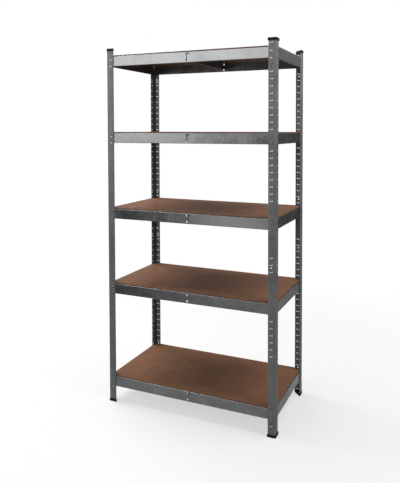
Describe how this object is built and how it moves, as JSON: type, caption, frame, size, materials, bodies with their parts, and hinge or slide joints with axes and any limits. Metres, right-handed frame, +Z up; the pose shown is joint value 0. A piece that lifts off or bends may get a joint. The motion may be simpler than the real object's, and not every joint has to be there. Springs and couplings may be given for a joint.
{
  "type": "boltless steel shelving",
  "caption": "Free-standing boltless rack: slotted galvanised angle posts, hooked steel beams with centre tie bars, loose hardboard shelves, black plastic caps and feet.",
  "frame": {"origin": "on the floor under the middle of the rack's footprint", "axes": "+X to the right along the width, +Y to the back, +Z up; the front faces -Y"},
  "size_m": [0.9, 0.45, 1.8],
  "materials": {
    "galvanised_post": "galvanised steel sheet with a fine spangle, satin",
    "galvanised_beam": "galvanised steel sheet with a fine spangle, satin",
    "hardboard": "brown pressed hardboard, smooth and slightly glossy upper face",
    "black_plastic": "moulded black plastic, satin"
  },
  "bodies": {
    "frame": {"post_lower_front_left": "galvanised_post", "post_upper_front_left": "galvanised_post", "post_connector_front_left": "galvanised_post", "foot_front_left": "black_plastic", "cap_front_left": "black_plastic", "post_lower_front_right": "galvanised_post", "post_upper_front_right": "galvanised_post", "post_connector_front_right": "galvanised_post", "foot_front_right": "black_plastic", "cap_front_right": "black_plastic", "post_lower_rear_right": "galvanised_post", "post_upper_rear_right": "galvanised_post", "post_connector_rear_right": "galvanised_post", "foot_rear_right": "black_plastic", "cap_rear_right": "black_plastic", "post_lower_rear_left": "galvanised_post", "post_upper_rear_left": "galvanised_post", "post_connector_rear_left": "galvanised_post", "foot_rear_left": "black_plastic", "cap_rear_left": "black_plastic", "beam_front_1": "galvanised_beam", "beam_right_1": "galvanised_beam", "beam_rear_1": "galvanised_beam", "beam_left_1": "galvanised_beam", "tie_bar_1": "galvanised_beam", "beam_front_2": "galvanised_beam", "beam_right_2": "galvanised_beam", "beam_rear_2": "galvanised_beam", "beam_left_2": "galvanised_beam", "tie_bar_2": "galvanised_beam", "beam_front_3": "galvanised_beam", "beam_right_3": "galvanised_beam", "beam_rear_3": "galvanised_beam", "beam_left_3": "galvanised_beam", "tie_bar_3": "galvanised_beam", "beam_front_4": "galvanised_beam", "beam_right_4": "galvanised_beam", "beam_rear_4": "galvanised_beam", "beam_left_4": "galvanised_beam", "tie_bar_4": "galvanised_beam", "beam_front_5": "galvanised_beam", "beam_right_5": "galvanised_beam", "beam_rear_5": "galvanised_beam", "beam_left_5": "galvanised_beam", "tie_bar_5": "galvanised_beam"},
    "board_1": {"board_1": "hardboard"},
    "board_2": {"board_2": "hardboard"},
    "board_3": {"board_3": "hardboard"},
    "board_4": {"board_4": "hardboard"},
    "board_5": {"board_5": "hardboard"}
  },
  "joints": [
    {"name": "lift_board_1", "type": "slide", "parent": "frame", "child": "board_1", "axis": [0, 0, 1], "range_m": [0, 0.12]},
    {"name": "lift_board_2", "type": "slide", "parent": "frame", "child": "board_2", "axis": [0, 0, 1], "range_m": [0, 0.12]},
    {"name": "lift_board_3", "type": "slide", "parent": "frame", "child": "board_3", "axis": [0, 0, 1], "range_m": [0, 0.12]},
    {"name": "lift_board_4", "type": "slide", "parent": "frame", "child": "board_4", "axis": [0, 0, 1], "range_m": [0, 0.12]},
    {"name": "lift_board_5", "type": "slide", "parent": "frame", "child": "board_5", "axis": [0, 0, 1], "range_m": [0, 0.12]}
  ]
}
